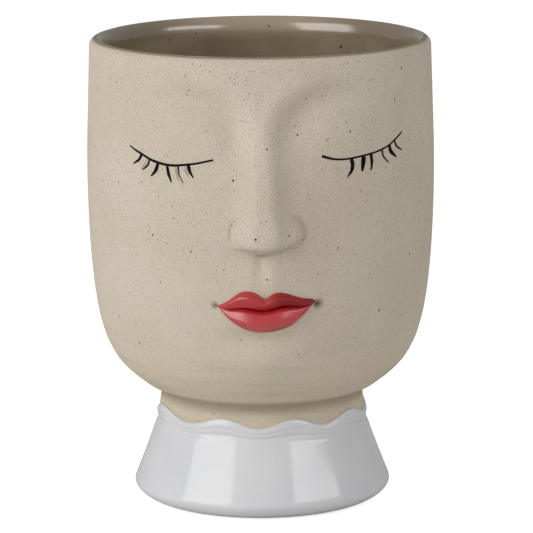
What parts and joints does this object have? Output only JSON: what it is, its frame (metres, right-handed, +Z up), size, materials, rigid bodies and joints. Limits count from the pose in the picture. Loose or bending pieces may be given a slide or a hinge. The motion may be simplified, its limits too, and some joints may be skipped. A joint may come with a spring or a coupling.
{
  "type": "head planter",
  "caption": "Stoneware planter shaped as a calm face with closed eyes and red lips, open at the crown, on a flared white foot with a ruffled collar.",
  "frame": {"origin": "centre of the foot ring, on the table", "axes": "+Z up along the axis of the bowl, -Y the way the face looks, +X to the right as seen from the front"},
  "size_m": [0.148, 0.161, 0.2],
  "materials": {
    "stoneware": "matte speckled buff clay",
    "lining_glaze": "glossy speckled brown-grey glaze",
    "lip_enamel": "satin red enamel",
    "lash_slip": "matte black slip",
    "white_glaze": "glossy white glaze",
    "luting_slip": "fired slip",
    "stopper_rubber": "matte black rubber"
  },
  "bodies": {
    "planter": {"head_bowl": "stoneware", "bowl_lining": "lining_glaze", "upper_lip": "lip_enamel", "lower_lip": "lip_enamel", "left_lid_line": "lash_slip", "right_lid_line": "lash_slip", "left_lashes": "lash_slip", "right_lashes": "lash_slip", "neck_pedestal": "stoneware", "collar_glaze": "white_glaze", "collar_ruffle": "white_glaze", "luting_ring": "luting_slip"},
    "stopper": {"drain_stopper": "stopper_rubber"}
  },
  "joints": [
    {"name": "stopper_lift", "type": "slide", "parent": "planter", "child": "stopper", "axis": [0, 0, 1], "range_m": [0, 0.16]}
  ]
}
